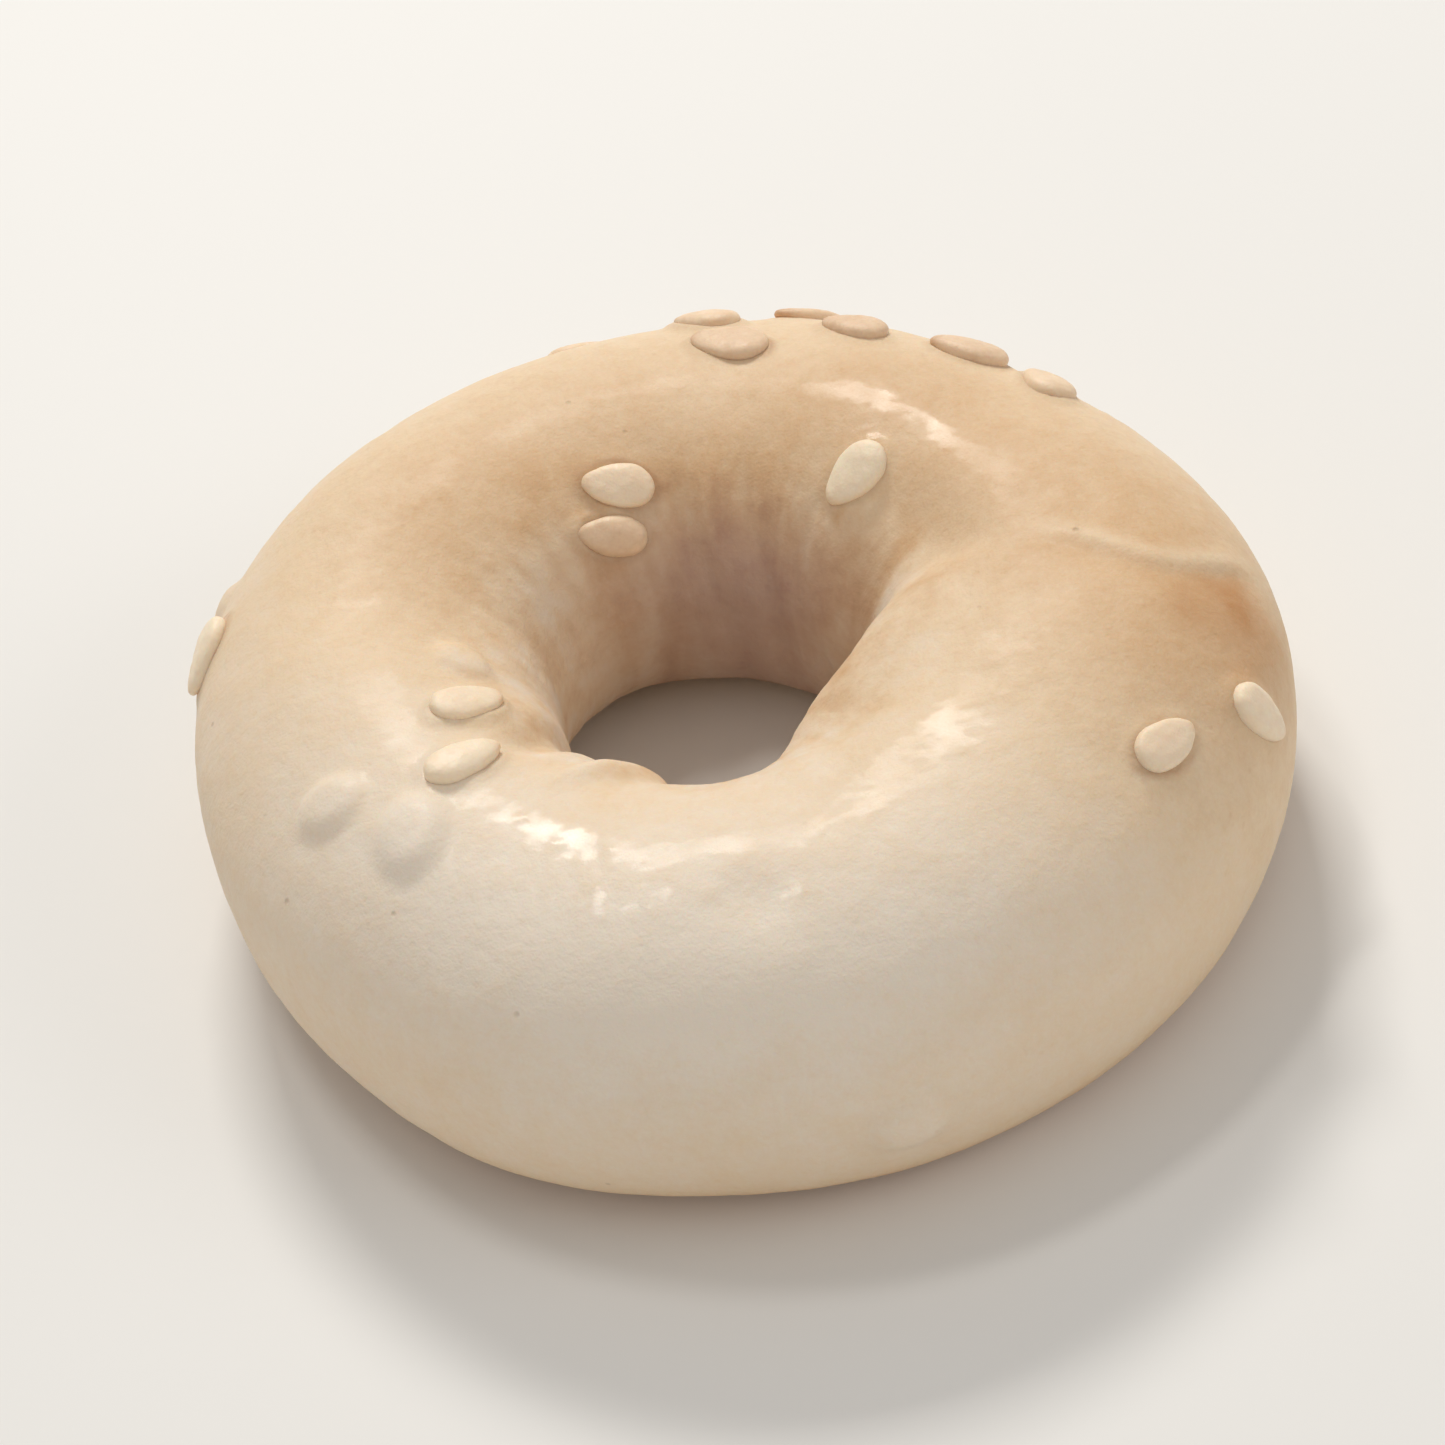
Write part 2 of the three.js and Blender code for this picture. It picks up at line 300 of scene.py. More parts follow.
def rope_tree(sizes):
    """A circle swept round a circle. Then each point goes where its two angles put it on the rope:
    "around" is the angle round the ring from +X, and "across" the angle round the rope, 0 degrees at
    its outermost line, 90 at the crest, 180 nearest the hole and 270 underneath."""
    tree, size = new_tree("bent rope", sizes)
    index = wire(add_node(tree, "GeometryNodeInputIndex"))
    circles = {}
    for angle, turn in (("around", 2 * math.pi), ("across", -2 * math.pi)):
        steps = size["Steps " + angle]
        circle = add_node(tree, "GeometryNodeCurvePrimitiveCircle", {"Resolution": steps})
        circles[angle] = stored(tree, circle, angle, index * turn / steps)
    curves = {"Curve": circles["around"], "Profile Curve": circles["across"]}
    swept = add_node(tree, "GeometryNodeCurveToMesh", curves)
    around = named(tree, "around")
    across = named(tree, "across")

    def swing(by, towards, times):
        return size[by] * ((around - size[towards]) * times).math("COSINE")

    middle = size["Ring radius"] + swing("Oval by", "Oval towards", 2)
    middle = middle + swing("Three-sided by", "Three-sided towards", 3)
    half_width = size["Half width"] + swing("Fatter by", "Fatter towards", 1)
    reach = across.math("COSINE")
    rise = across.math("SINE")
    squarer = (size["Underside power"] * 0.5) ** -1 - 1
    power = rise.math("LESS_THAN", 0) * squarer + 1
    out = middle + half_width * reach.math("SIGN") * reach.math("ABSOLUTE") ** power
    up = half_width * size["Height share"] * rise.math("SIGN") * rise.math("ABSOLUTE") ** power
    place = point(tree, out * around.math("COSINE"), out * around.math("SINE"), up)
    return close_tree(tree, moved(tree, swept, Position=place), size["Crust"])


crust = new_piece("crust")
grow(crust, rope_tree(ROPE), ROPE)


def points_of(mesh):
    points = np.zeros(len(mesh.vertices) * 3)
    mesh.vertices.foreach_get("co", points)
    return points.reshape(*GRID, 3)


def values_of(mesh, attribute):
    values = np.zeros(len(mesh.vertices))
    mesh.attributes[attribute].data.foreach_get("value", values)
    return values.reshape(GRID)


def wrapped(angle):
    return angle - 2 * np.pi * np.round(angle / (2 * np.pi))


GRID = (ROPE["Steps around"], ROPE["Steps across"])
around = values_of(crust.data, "around")
across = wrapped(values_of(crust.data, "across") - np.pi / 2) + np.pi / 2

# The hands' work on the rope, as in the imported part: sizes along the surface, angles in degrees.
# A band is a stretch across the rope, rising from its first angle to its second and falling from its
# third to its last.
REST_DEPTH = 6.3 * MM  # from the rope's widest level down to the tray
BOX_MIDDLE = np.array([0.763, -0.601]) * MM  # middle of the finished ring, seen from above
NARROWEST = 5.5 * MM  # lengths along the ring are taken at least this far from its axis
WAVES = (  # height in mm, waves round the ring and their start, waves round the rope and their lean
    (0.16, 2, 1.1, 1, -0.6),
    (0.13, 5, 0.4, 1, 1.0),
    (0.10, 3, -0.7, 2, -math.pi / 2),
    (0.06, 9, 2.0, 2, 0.5),
)
SEAM = {"outside": -6, "shoulder": 1.5, "slant": (60, 120), "back": 10, "turns back": (135, 190)}
SEAM_SAG = {"by": 3.2, "across": 64, "reach": 17}
SEAM_FOOT = {"by": 2, "over": (28, 50)}
INNER_STEP = {
    "height": 0.42 * MM,
    "edge": 0.8 * MM,
    "reach": 7.5 * MM,
    "sink": 0.75,
    "band": (98, 124, 205, 235),
}
OUTER_LIP = {
    "height": 0.14 * MM,
    "past": 0.1 * MM,
    "edge": 0.3 * MM,
    "reach": 1.1 * MM,
    "band": (20, 42, 75, 100),
}
OUTER_HOLLOW = {"depth": 0.07 * MM, "beside": 1.0 * MM, "reach": 0.9 * MM}
SHOULDER = {"height": 1.6 * MM, "around": -51, "reach": 30, "band": (107, 162, 215, 250)}
SHOULDER_SWING = {"by": 32, "over": (120, 178)}
NEAR_CREST = {"height": 0.4 * MM, "around": -56, "reach": 16, "across": 115, "over": 14}  # a fuller crest
NEAR_END = {"height": 0.45 * MM, "around": -16, "reach": 22}
FAR_END = {"height": -0.55 * MM, "around": 38, "reach": 20}
FLANK = (60, 100)
FOLD_BAND = (105, 135, 200, 230)
FOLD_WANDER = {"by": 0.12, "times": 3}
HOLE_FOLDS = (  # degrees around, half width and depth in mm; less than no depth is a ridge
    (203, 1.1, 0.87),
    (232, 0.76, -0.59),
    (249, 0.7, 0.15),
    (293.5, 1.6, -0.28),
    (150, 0.8, 0.1),
    (118, 0.7, 0.1),
    (98, 0.7, 0.1),
    (82, 0.6, 0.14),
    (64, 0.6, 0.18),
    (44, 0.5, 0.12),
)
DIMPLE = {"around": 269, "across": 74, "reach": 1.5 * MM, "depth": 0.28 * MM}


def ease(start, end, angle):
    """0 to 1 as the angle goes from the start to the end, both in degrees."""
    share = np.clip((angle - np.radians(start)) / np.radians(end - start), 0, 1)
    return share * share * (3 - 2 * share)


def swell(distance, reach):
    """1 at no distance, fading to nothing past the reach."""
    return np.exp(-((distance / reach) ** 2))


def swell_at(angle, middle, reach):
    """The same for an angle, with the middle and the reach in degrees."""
    return swell(wrapped(angle - np.radians(middle)), np.radians(reach))


def in_band(band):
    start, full, fading, end = band
    return ease(start, full, across) * (1 - ease(fading, end, across))


def patches_of(places):
    """Soft patches, each given by its middle and reach around, the same across, and its strength."""
    total = np.zeros(GRID)
    for middle, reach, over, over_reach, strength in places:
        total += strength * swell_at(around, middle, reach) * swell_at(across, over, over_reach)
    return total


def unevenness():
    lumps = np.zeros(GRID)
    for height, times, start, over, lean in WAVES:
        lumps += height * MM * np.sin(times * around + start) * np.cos(over * across + lean)
    return lumps


def past_the_seam(out):
    """How far a point lies past the seam, along the ring."""
    seam = SEAM["outside"] + (SEAM["shoulder"] - SEAM["outside"]) * ease(*SEAM["slant"], across)
    seam -= SEAM["back"] * ease(*SEAM["turns back"], across)
    seam -= SEAM_SAG["by"] * swell_at(across, SEAM_SAG["across"], SEAM_SAG["reach"])
    seam += SEAM_FOOT["by"] * (1 - ease(*SEAM_FOOT["over"], across))
    return wrapped(around - np.radians(seam)) * np.maximum(out, NARROWEST)


def joint_relief(out):
    """In the hole the near end stands over the far one. On the outer side the far end has a low lip."""
    past = past_the_seam(out)
    inside = in_band(INNER_STEP["band"])
    outside = in_band(OUTER_LIP["band"])
    flank = 1 - ease(*FLANK, np.abs(wrapped(across)))
    step = np.tanh(past / INNER_STEP["edge"]) + INNER_STEP["sink"]
    lip = np.tanh((past - OUTER_LIP["past"]) / OUTER_LIP["edge"])
    swing = SHOULDER_SWING["by"] * (1 - ease(*SHOULDER_SWING["over"], across))
    from_shoulder = wrapped(around - np.radians(SHOULDER["around"] + swing))
    bulge = swell(from_shoulder, np.radians(SHOULDER["reach"]))
    relief = SHOULDER["height"] * in_band(SHOULDER["band"]) * bulge
    fuller = swell_at(around, NEAR_CREST["around"], NEAR_CREST["reach"])
    relief += NEAR_CREST["height"] * fuller * swell_at(across, NEAR_CREST["across"], NEAR_CREST["over"])
    relief -= INNER_STEP["height"] * inside * step * swell(past, INNER_STEP["reach"])
    relief += OUTER_LIP["height"] * outside * lip * swell(past, OUTER_LIP["reach"])
    relief -= OUTER_HOLLOW["depth"] * outside * swell(past + OUTER_HOLLOW["beside"], OUTER_HOLLOW["reach"])
    for end in (NEAR_END, FAR_END):
        relief += end["height"] * flank * swell_at(around, end["around"], end["reach"])
    return relief


def fold_relief(out):
    inside = in_band(FOLD_BAND)
    relief = np.zeros(GRID)
    for fold_around, half_width, depth in HOLE_FOLDS:
        wander = FOLD_WANDER["by"] * np.sin(FOLD_WANDER["times"] * across + fold_around)
        beside = wrapped(around - np.radians(fold_around) - wander) * np.maximum(out, NARROWEST)
        relief -= depth * MM * inside * swell(beside, half_width * MM)
    return relief


def dimple_relief():
    along = wrapped(around - np.radians(DIMPLE["around"])) * ROPE["Ring radius"]
    over = (across - np.radians(DIMPLE["across"])) * ROPE["Half width"]
    return -DIMPLE["depth"] * swell(np.hypot(along, over), DIMPLE["reach"])


def shaped_by_hand(points):
    """The plain rope with the hands' work on it, rounded off where it lies on the tray."""
    out = np.hypot(points[..., 0], points[..., 1])
    up = points[..., 2]
    out_slope, up_slope = (np.roll(side, 1, axis=1) - np.roll(side, -1, axis=1) for side in (out, up))
    slope = np.hypot(out_slope, up_slope)
    relief = unevenness() + joint_relief(out) + fold_relief(out) + dimple_relief()
    out = out + relief * up_slope / slope
    up = up - relief * out_slope / slope + REST_DEPTH
    edge = 0.25 * MM  # how softly the side turns into the flat underside
    up = (up + np.sqrt(up**2 + edge**2)) / 2
    sideways, away = out * np.cos(around), out * np.sin(around)
    return np.stack((sideways - BOX_MIDDLE[0], away - BOX_MIDDLE[1], up), axis=-1)


ring = shaped_by_hand(points_of(crust.data))

# Where the seeds are pressed in: degrees around, across, and from the rope's run to the seed's long axis,
# then its size, and how it looks: pale, golden or toasted, or covered by the egg wash that ran over it
SEED = {"length": 3.3 * MM, "width": 1.9 * MM, "thickness": 1.0 * MM, "lift": 0.16 * MM, "spread": 0.16}
SEEN_SEEDS = (
    (78, 74, -20, 1.2, "golden"),
    (82, 51, -30, 1, "golden"),
    (61, 59, -12, 1, "golden"),
    (46, 49, 20, 1, "golden"),
    (34, 47, -25, 1, "golden"),
    (104, 128, -20, 1, "pale"),
    (111, 143, -22, 0.88, "toasted"),
    (42, 118, 72, 1, "pale"),
    (175, 123, 45, 0.75, "covered"),
    (194, 115, 98, 1, "pale"),
    (211, 100, 88, 1.1, "pale"),
    (216, 73, -48, 1.15, "covered"),
    (202, 63, 78, 1, "covered"),
    (325, 48, -18, 1, "pale"),
    (337, 25, -78, 1, "pale"),
    (280, -4, -5, 1, "covered"),
    (162, 27, -35, 1, "pale"),
)
# The seeds that the ring itself hides: for each angle its lowest value, its spread, and its share's start
# and step. They lie lower towards the two ends of the back, whose skyline is bare.
GOLDEN_RATIO = 0.618034
HIDDEN_SEEDS = {
    "tries": 24,
    "around": (24, 138, 0.21, GOLDEN_RATIO),
    "across": (-8, 42, 0.4, 0.7549),
    "turn": (0, 180, 0, 0.5698),
}
SEED_SPACING = 3.2 * MM


def share_of(index, start=0.0):
    """The index's own share from 0 to 1. Steps by the golden ratio never fall into a pattern."""
    return (index * GOLDEN_RATIO + start) % 1


def on_ring(angle_around, angle_across):
    """The point of the ring at these two angles in degrees, between the nearest points of its grid."""
    row = (angle_around / 360 * GRID[0]) % GRID[0]
    column = (-angle_across / 360 * GRID[1]) % GRID[1]
    here = np.zeros(3)
    for next_row in (0, 1):
        for next_column in (0, 1):
            i = int(row) + next_row
            j = int(column) + next_column
            share = (1 - abs(row - i)) * (1 - abs(column - j))
            here += share * ring[i % GRID[0], j % GRID[1]]
    return here


def unit(vector):
    return vector / np.linalg.norm(vector)


def seed_at(angle_around, angle_across, turn, size, look, index):
    """A seed's middle, its long, wide and outward directions, its size and its look."""
    step = 2.0  # degrees each way, for the directions of the surface
    run = unit(on_ring(angle_around + step, angle_across) - on_ring(angle_around - step, angle_across))
    over = unit(on_ring(angle_around, angle_across + step) - on_ring(angle_around, angle_across - step))
    out = unit(np.cross(run, over))
    side = np.cross(out, run)
    long = run * math.cos(math.radians(turn)) + side * math.sin(math.radians(turn))
    size *= 1 + SEED["spread"] * (share_of(index) - 0.5)
    return {
        "middle": on_ring(angle_around, angle_across) + out * SEED["lift"],
        "long": long,
        "wide": np.cross(out, long),
        "out": out,
        "size": size,
        "look": look,
    }


def draw(angle, index):
    """The lowest value of an angle of a hidden seed, and how far over it this try goes."""
    lowest, spread, start, step = HIDDEN_SEEDS[angle]
    return lowest, spread * ((start + step * index) % 1)


def all_seeds():
    """The seen seeds, then tries over the back, kept where they touch no seed so far."""
    places = list(SEEN_SEEDS)
    for index in range(HIDDEN_SEEDS["tries"]):
        angle_around = sum(draw("around", index))
        lowest, higher = draw("across", index)
        angle_across = lowest + higher * math.sin(math.radians(angle_around))
        here = on_ring(angle_around, angle_across)
        if all(np.linalg.norm(on_ring(*other[:2]) - here) > SEED_SPACING for other in places):
            look = "covered" if share_of(index, 0.3) < 0.2 else "golden"
            places.append((angle_around, angle_across, sum(draw("turn", index)), 1, look))
    return [seed_at(*place, index) for index, place in enumerate(places)]


seeds = all_seeds()

# The dough and the egg wash climb a little up each seed; beside it the crust is darker, more on one side:
# partly browned, partly painted shade. Where egg wash has run over a seed, the crust itself makes its dome.
SOCKET = {"climb": 0.17 * MM, "reach": 0.36 * MM, "brown and shade from": 0.14 * MM, "brown and shade reach": 0.22 * MM}
COVERED = {"height": 0.46 * MM, "longer": 0.9, "wider": 1.25, "reach": 1.02, "squareness": 5, "paler": 0.03}
AROUND_A_SEED = 4.5 * MM  # nothing of a seed is felt farther off
rise = np.zeros(GRID)
seed_rim_brown_and_shade = np.zeros(GRID)
paler = np.zeros(GRID)
for number, seed in enumerate(seeds):
    covered = seed["look"] == "covered"
    from_seed = ring - seed["middle"]
    along = from_seed @ seed["long"]
    beside = from_seed @ seed["wide"]
    half_length = SEED["length"] * seed["size"] / 2 * (COVERED["longer"] if covered else 1)
    half_width = SEED["width"] * seed["size"] / 2 * (COVERED["wider"] if covered else 1)
    turns = np.hypot(along / half_length, beside / half_width)
    near = np.linalg.norm(from_seed, axis=-1) < AROUND_A_SEED
    if covered:
        dome = near * np.exp(-((turns / COVERED["reach"]) ** COVERED["squareness"]))
        rise += COVERED["height"] * seed["size"] * dome
        paler += COVERED["paler"] * dome
        continue
    gap = (1 - 1 / np.maximum(turns, 0.05)) * np.hypot(along, beside)
    press = 0.4 + 1.2 * share_of(number, 0.2)
    rise += near * press * SOCKET["climb"] * swell(gap, SOCKET["reach"])
    side = np.cos(np.arctan2(beside, along) - 2 * np.pi * share_of(number, 0.6))
    strength = (0.12 + 0.70 * share_of(number, 0.85) ** 2.5) * (1 + 0.6 * side)
    rim_darkening = swell(gap - SOCKET["brown and shade from"], SOCKET["brown and shade reach"])
    seed_rim_brown_and_shade = np.maximum(seed_rim_brown_and_shade, near * strength * rim_darkening)


def outward(points):
    """The outward direction at each point of the grid."""
    run = np.roll(points, -1, axis=0) - np.roll(points, 1, axis=0)
    over = np.roll(points, 1, axis=1) - np.roll(points, -1, axis=1)
    normal = np.cross(run, over)
    return normal / np.linalg.norm(normal, axis=-1, keepdims=True)


ring = ring + outward(ring) * rise[..., None]

# How far the dough has browned, with some painted shade and light, and where the egg wash lies. A place
# is given in degrees by its middle and reach around, then the same across, and last by how much it has.
EVENLY_BAKED = 0.20
CREST_BROWNER = {"by": 0.08, "across": 95, "reach": 45}
FOOT_BROWNER = {"by": 0.34, "up to": 1.9 * MM}  # next to the tray
# Painted highlight: the top of the joint's lip is painted paler, as a lit ridge.
LIP_PAINTED_HIGHLIGHT = {"by": 0.14, "past": 0.55 * MM, "reach": 0.6 * MM}
BROWNING_AND_PAINTED_LIGHT = (
    # the far wall and its foot: browned, and partly painted shade
    (72, 52, 152, 38, 0.26),  # the far wall of the hole
    (70, 75, 190, 24, 0.04),  # its foot
    (135, 45, 108, 34, 0.10),  # the back left of the crest
    (30, 16, 152, 20, 0.14),  # beside the shoulder
    (-16, 28, 52, 42, 0.24),  # the near end, beside the joint
    (36, 36, 85, 30, 0.12),  # the back right of the crest
    (315, 30, 20, 30, 0.02),  # the right flank
    (346, 22, 5, 18, 0.06),  # and its rim
    # the near side: pale dough, and partly a painted whitish reflection
    (262, 64, 60, 55, -0.25),  # the near side
    (200, 35, 85, 45, -0.08),  # the left of the crest
)
SCORCHED = (  # the orange patch under the lip of the joint
    (-9.5, 4.5, 40, 10, 0.60),
    (-14, 8, 34, 20, 0.52),
    (-15, 3.4, 55, 5.5, 0.36),
)
SCORCH_EDGE = -0.5 * MM  # from here it fades out, up to the seam
GLOSSY = (  # pools of egg wash
    (236, 26, 91, 14, 0.84),
    (262, 16, 76, 8, 1.0),
    (300, 17, 100, 14, 0.48),
    (43, 11, 95, 11, 1.2),
)
THIN_WASH = {"by": 0.10, "band": (-25, 20, 150, 190)}  # everywhere else on the top
WALL_BAND = (105, 140, 215, 240)  # where the dough is squeezed, round the hole
# Painted shade in the hole: where it is dim, the colour goes towards a dull grey, most on the far side.
HOLLOW_BAND = (120, 172, 215, 240)  # where the hole is dim
DIM_SIDE = {"around": 72, "reach": 50, "elsewhere": 0.12}
height = ring[..., 2]
past = past_the_seam(np.hypot(ring[..., 0], ring[..., 1]))
baked_and_painted_light = EVENLY_BAKED + patches_of(BROWNING_AND_PAINTED_LIGHT)
baked_and_painted_light += CREST_BROWNER["by"] * swell_at(across, CREST_BROWNER["across"], CREST_BROWNER["reach"])
baked_and_painted_light += FOOT_BROWNER["by"] * swell(height, FOOT_BROWNER["up to"]) - paler
lip_highlight = swell(past - LIP_PAINTED_HIGHLIGHT["past"], LIP_PAINTED_HIGHLIGHT["reach"]) * in_band(OUTER_LIP["band"])
baked_and_painted_light -= LIP_PAINTED_HIGHLIGHT["by"] * lip_highlight
washed = THIN_WASH["by"] * in_band(THIN_WASH["band"]) + patches_of(GLOSSY)
scorched = patches_of(SCORCHED) * np.clip(past / SCORCH_EDGE, 0, 1)
dim_side = swell_at(around, DIM_SIDE["around"], DIM_SIDE["reach"])
dim = in_band(HOLLOW_BAND) * (DIM_SIDE["elsewhere"] + (1 - DIM_SIDE["elsewhere"]) * dim_side)


def paint(mesh, name, values):
    attribute = mesh.attributes.get(name) or mesh.attributes.new(name, "FLOAT", "POINT")
    attribute.data.foreach_set("value", values.astype(np.float32).ravel())


crust.data.vertices.foreach_set("co", ring.astype(np.float32).ravel())
paint(crust.data, "washed", np.minimum(washed, 1))
paint(crust.data, "hole wall", in_band(WALL_BAND))
paint(crust.data, "baked_and_painted_light", baked_and_painted_light)
paint(crust.data, "seed_rim_brown_and_shade", seed_rim_brown_and_shade)
paint(crust.data, "hole_shade", dim)
paint(crust.data, "scorched", scorched)

SKIN = {
    "Swell height": 0.06 * MM,
    "Swell spacing": 4.5 * MM,
    "Ripple height": 0.04 * MM,
    "Ripple spacing": 1.5 * MM,
    "Blister height": 0.06 * MM,
    "Blister spacing": 1.15 * MM,
    "Streak height": 0.10 * MM,
    "Streak spacing": 1.4 * MM,
    "Crust": ROPE["Crust"],
}


def skin_tree(sizes):
    """The skin that baking gives the dough: soft swells, fine ripples, small blisters where the egg wash
    lies, and streaks down the wall of the hole, where the dough was squeezed as it was bent."""
    tree, size = new_tree("baked skin", sizes)
    geometry = size["Geometry"]
    place = wire(add_node(tree, "GeometryNodeInputPosition"))
    around = named(tree, "around")
    swells = noise(tree, place, size["Swell spacing"]) * size["Swell height"]
    ripples = noise(tree, place, size["Ripple spacing"]) * size["Ripple height"]
    distance, chance = cells(tree, place, size["Blister spacing"])
    dome = (distance * distance * -6 + 1).math("MAXIMUM", 0) * chance.between(0.4, 0.9)
    blister = dome * named(tree, "washed")
    hole_radius = 7 * MM
    drawn_out = 0.2  # a streak is this much less spread down the wall than round it
    down = wire(add_node(tree, "ShaderNodeSeparateXYZ", {"Vector": place}), "Z") * drawn_out
    sideways = around.math("COSINE") * hole_radius
    away = around.math("SINE") * hole_radius
    down_the_wall = point(tree, sideways, away, down)
    streaks = noise(tree, down_the_wall, size["Streak spacing"], 3.0) * named(tree, "hole wall")
    rise = swells * 2 + ripples * 2 + blister * size["Blister height"]
    rise = rise + streaks * 2 * size["Streak height"]
    normal = wire(add_node(tree, "GeometryNodeInputNormal"))
    offset = add_node(tree, "ShaderNodeVectorMath", {0: normal}, operation="SCALE")
    feed(tree, offset.inputs["Scale"], rise)
    marked = stored(tree, stored(tree, geometry, "blister", blister), "streak", streaks * -1)
    return close_tree(tree, moved(tree, marked, Offset=offset), size["Crust"])


grow(crust, skin_tree(SKIN), SKIN)
ring = points_of(crust.data)
ring[..., 2] = np.maximum(ring[..., 2], 0)
crust.data.vertices.foreach_set("co", ring.astype(np.float32).ravel())
crust.data.update()
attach(crust, "root")
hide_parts("bread_ring")

# The sesame seeds
# Hulled seeds, flat drops of about 3 by 2 mm, scattered on the egg wash before baking and held by it.
# They are ivory, a little toasted, and darker at the point where each hung on its stalk.
SEEDS = {
    "Length": SEED["length"],
    "Width": SEED["width"],
    "Thickness": SEED["thickness"],
    "Taper": 0.24,
    "Flatness": 0.82,
    "Dish": 0.15,
    "Dent height": 0.09 * MM,
    "Dent spacing": 1.4 * MM,
    "Wrinkle height": 0.025 * MM,
    "Wrinkle spacing": 0.42 * MM,
    "Sides": 44,
    "Rings": 28,
}


def seed_material():
    material, tree, surface, place = new_material("toasted sesame")
    toast = painted(tree, "toast")
    tip = painted(tree, "tip")
    speckle = noise(tree, place, 0.35 * MM, 2.0)
    cloud = noise(tree, place, 1.2 * MM, 2.0)
    dust = noise(tree, place, 0.12 * MM, 2.0)
    shade = toast + cloud * 0.26 + speckle * 0.20 + dust * 0.10 + tip.between(0.6, 1.0) * 0.22
    husk = ramp(
        tree,
        shade,
        (
            (0.0, screen(252, 233, 206)),
            (1.0, screen(176, 126, 88)),
            (0.35, screen(239, 211, 179)),
            (0.65, screen(214, 178, 144)),
        ),
    )
    bumps = speckle * 0.035 + cloud * 0.03 + dust * 0.012
    bump = add_node(tree, "ShaderNodeBump", {"Height": bumps, "Distance": MM})
    set_surface(
        tree,
        surface,
        {
            "Base Color": husk,
            "Roughness": speckle * 0.3 + 0.52,
            "Normal": bump,
            "Subsurface Weight": 0.30,
            "Subsurface Radius": (1.0, 0.62, 0.35),
            "Subsurface Scale": 0.6 * MM,
        },
    )
    return material


def seeds_tree(sizes):
    """A drop on every point, laid along the point's own directions, then dented a little by noise. Its two
    faces are flattened and dished, which leaves a blunt rim round each."""
    tree, size = new_tree("scattered seeds", sizes)
    ball = add_node(tree, "GeometryNodeMeshUVSphere", {"Segments": size["Sides"], "Rings": size["Rings"]})
    place = wire(add_node(tree, "GeometryNodeInputPosition"))
    parts = add_node(tree, "ShaderNodeSeparateXYZ", {"Vector": place})
    along = wire(parts, "Z")
    beside = wire(parts, "X")
    face = wire(parts, "Y")
    narrow = size["Taper"] * along * -1 + 1
    flat = face.math("SIGN") * face.math("ABSOLUTE") ** size["Flatness"]
    dished = (along * along + beside * beside) * size["Dish"] - size["Dish"] + 1
    drop = point(
        tree,
        along * size["Length"] * 0.5,
        beside * narrow * size["Width"] * 0.5,
        flat * dished * narrow * size["Thickness"] * 0.5,
    )
    ball = moved(tree, stored(tree, ball, "tip", along), Position=drop)
    out, long, scale = (named(tree, mark, "FLOAT_VECTOR") for mark in ("out", "long", "size"))
    axes = {"Primary Axis": out, "Secondary Axis": long}
    turned = add_node(tree, "FunctionNodeAxesToRotation", axes)
    inputs = {"Points": size["Geometry"], "Instance": ball, "Rotation": turned, "Scale": scale}
    laid = add_node(tree, "GeometryNodeInstanceOnPoints", inputs)
    real = add_node(tree, "GeometryNodeRealizeInstances", {"Geometry": laid})
    normal = wire(add_node(tree, "GeometryNodeInputNormal"))
    dents = noise(tree, place, size["Dent spacing"]) * size["Dent height"] * 2
    dents = dents + noise(tree, place, size["Wrinkle spacing"]) * size["Wrinkle height"] * 2
    offset = add_node(tree, "ShaderNodeVectorMath", {0: normal}, operation="SCALE")
    feed(tree, offset.inputs["Scale"], dents)
    return close_tree(tree, moved(tree, real, Offset=offset), size["Husk"])


SEEDS["Husk"] = seed_material()
TOAST = {"pale": 0.06, "golden": 0.33, "toasted": 0.35}
bare = [seed for seed in seeds if seed["look"] != "covered"]
marks = bpy.data.meshes.new("seed marks")
marks.from_pydata([tuple(seed["middle"]) for seed in bare], [], [])
for direction in ("out", "long"):
    attribute = marks.attributes.new(direction, "FLOAT_VECTOR", "POINT")
    attribute.data.foreach_set("vector", np.array([seed[direction] for seed in bare]).ravel())
plump = [
    (seed["size"], seed["size"] * (0.94 + 0.2 * share_of(number, 0.5)), 0.95 + 0.3 * share_of(number, 0.1))
    for number, seed in enumerate(bare)
]
sizes = marks.attributes.new("size", "FLOAT_VECTOR", "POINT")
sizes.data.foreach_set("vector", np.array(plump).ravel())
toasts = [TOAST[seed["look"]] + 0.16 * share_of(number, 0.7) for number, seed in enumerate(bare)]
toast = marks.attributes.new("toast", "FLOAT", "POINT")
toast.data.foreach_set("value", toasts)
sesame = new_piece("sesame_seeds", marks)
grow(sesame, seeds_tree(SEEDS), SEEDS)
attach(sesame, "root")

# The floor
# A plain pale sheet, far wider than the ring, that shows only its soft shadow.
floor_mesh = bpy.data.meshes.new("floor")
FLOOR_HALF = 1.5
FLOOR_GAP = 0.03 * MM  # so that it shares no plane with the ring's flat underside
corners = [(x * FLOOR_HALF, y * FLOOR_HALF, -FLOOR_GAP) for x, y in ((-1, -1), (1, -1), (1, 1), (-1, 1))]
floor_mesh.from_pydata(corners, [], [(0, 1, 2, 3)])
floor = new_piece("floor", floor_mesh)
floor_paint, floor_tree, floor_surface, _ = new_material("pale floor")
set_surface(floor_tree, floor_surface, {"Base Color": screen(236, 235, 232), "Roughness": 0.6})
floor_mesh.materials.append(floor_paint)

# Light
# A large soft lamp above and behind, which gives the bread its arcs of gloss, and weak ones to fill in.
TARGET = Vector((-0.8, 0.6, 6.3)) * MM


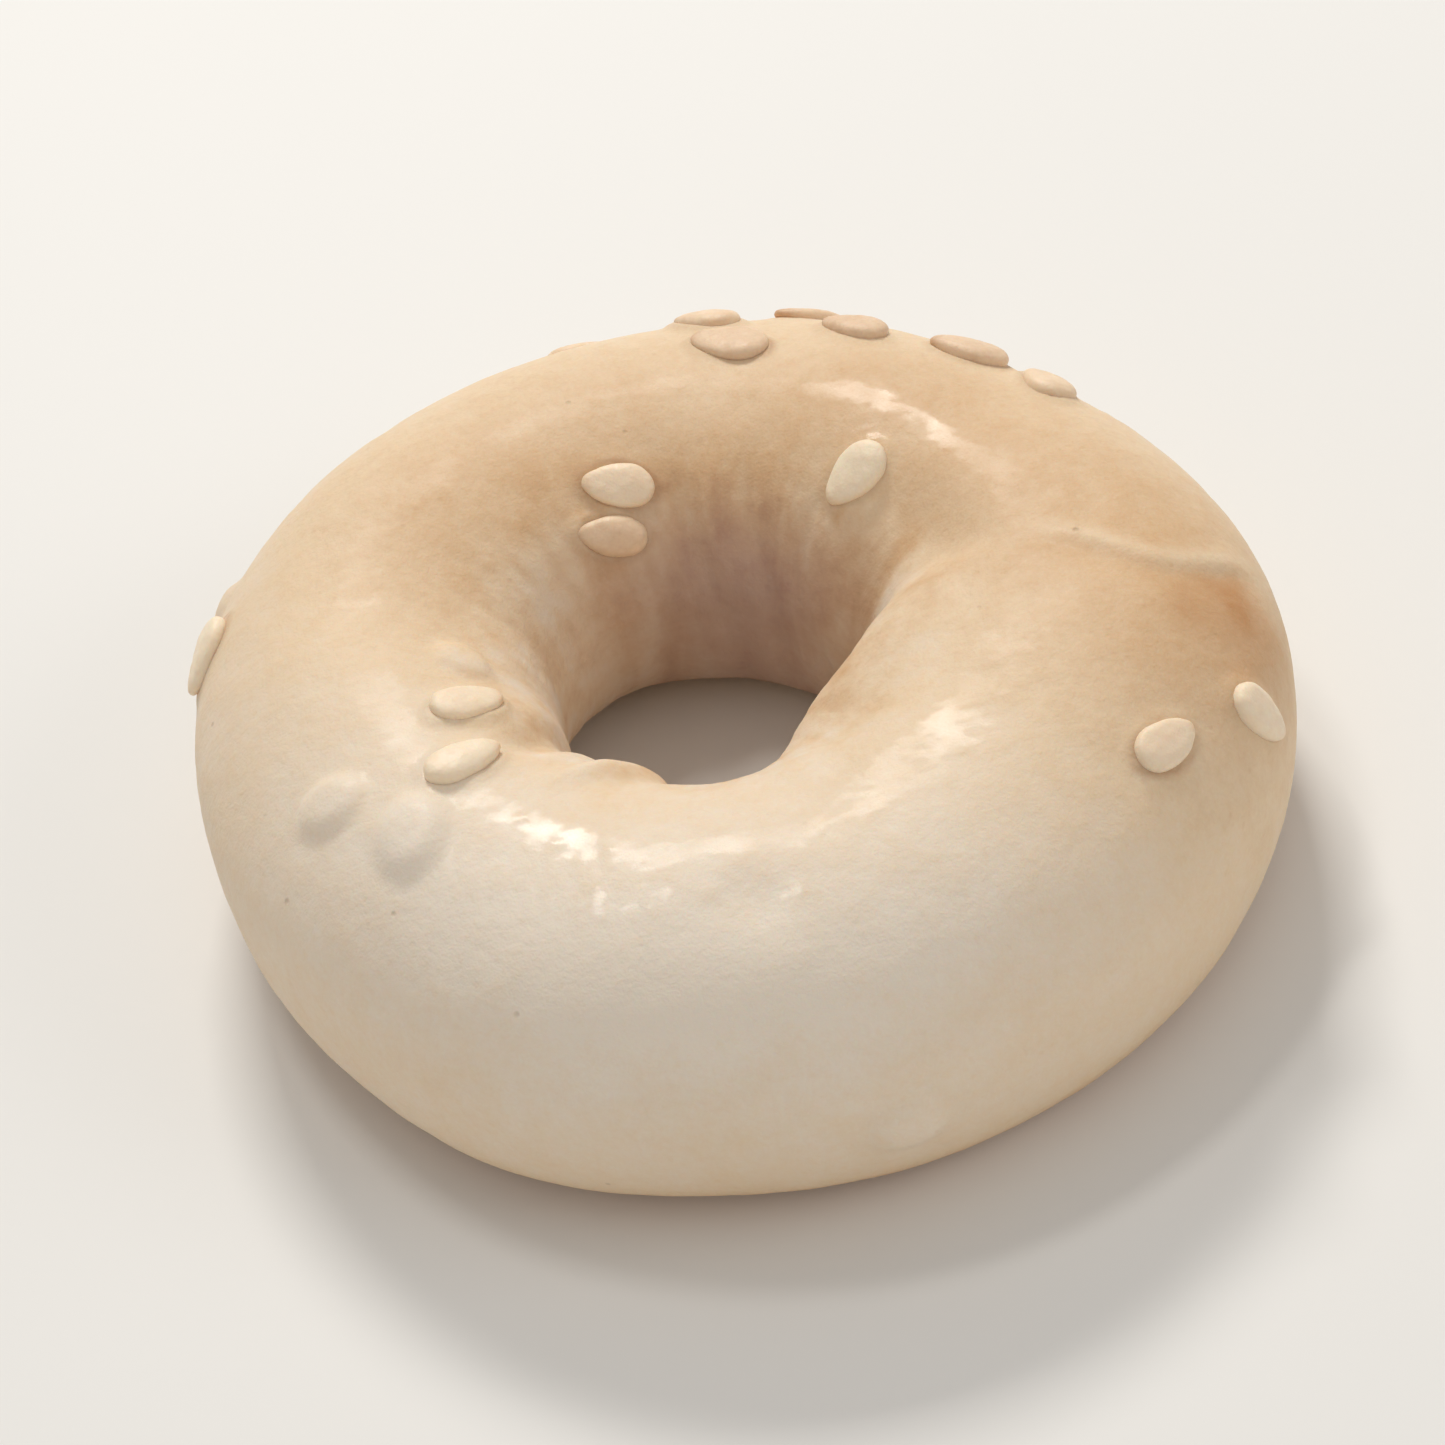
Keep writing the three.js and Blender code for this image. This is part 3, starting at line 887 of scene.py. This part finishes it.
def from_target(azimuth, elevation, distance):
    """A place seen from the target: azimuth 0 is towards -Y and 90 towards +X, both angles in degrees."""
    turn = math.radians(azimuth)
    lift = math.radians(elevation)
    flat = math.cos(lift)
    return TARGET + distance * Vector((math.sin(turn) * flat, -math.cos(turn) * flat, math.sin(lift)))


def softbox(name, azimuth, elevation, distance, width, depth, watts, colour):
    lamp = bpy.data.lights.new(name, "AREA")
    lamp.shape = "RECTANGLE"
    lamp.size = width
    lamp.size_y = depth
    lamp.energy = watts
    lamp.color = colour
    holder = bpy.data.objects.new(name, lamp)
    holder.location = from_target(azimuth, elevation, distance)
    holder.rotation_euler = (TARGET - holder.location).to_track_quat("-Z", "Y").to_euler()
    bpy.context.scene.collection.objects.link(holder)


softbox("key", 181, 42, 0.60, 0.17, 0.10, 1.9, (1.0, 0.97, 0.92))
softbox("overhead", 213, 66, 0.70, 0.14, 0.07, 0.65, (1.0, 0.97, 0.93))
softbox("side", 72, 33, 0.70, 0.4, 0.3, 0.72, (1.0, 0.97, 0.94))
softbox("fill", -25, 12, 0.80, 0.7, 0.25, 0.62, (1.0, 0.98, 0.97))
world = bpy.data.worlds.new("studio")
world.use_nodes = True
sky = world.node_tree.nodes["Background"]
sky.inputs["Color"].default_value = (1.0, 0.98, 0.96, 1.0)
sky.inputs["Strength"].default_value = 0.40
bpy.context.scene.world = world
bpy.context.scene.view_settings.view_transform = "Standard"

# The camera
# It looks at the ring as the photograph does, from in front and above, and is rolled a little.
CAMERA = {"distance": 0.248, "elevation": 44.5, "roll": -11.3, "lens": 150}
lens = bpy.data.cameras.new("camera")
lens.lens = CAMERA["lens"]
lens.clip_start = 0.01
camera = bpy.data.objects.new("camera", lens)
tilt = Matrix.Rotation(math.radians(90 - CAMERA["elevation"]), 4, "X")
roll = Matrix.Rotation(math.radians(CAMERA["roll"]), 4, "Z")
stand = Matrix.Translation(from_target(0, CAMERA["elevation"], CAMERA["distance"]))
camera.matrix_world = stand @ tilt @ roll
bpy.context.scene.collection.objects.link(camera)
bpy.context.scene.camera = camera
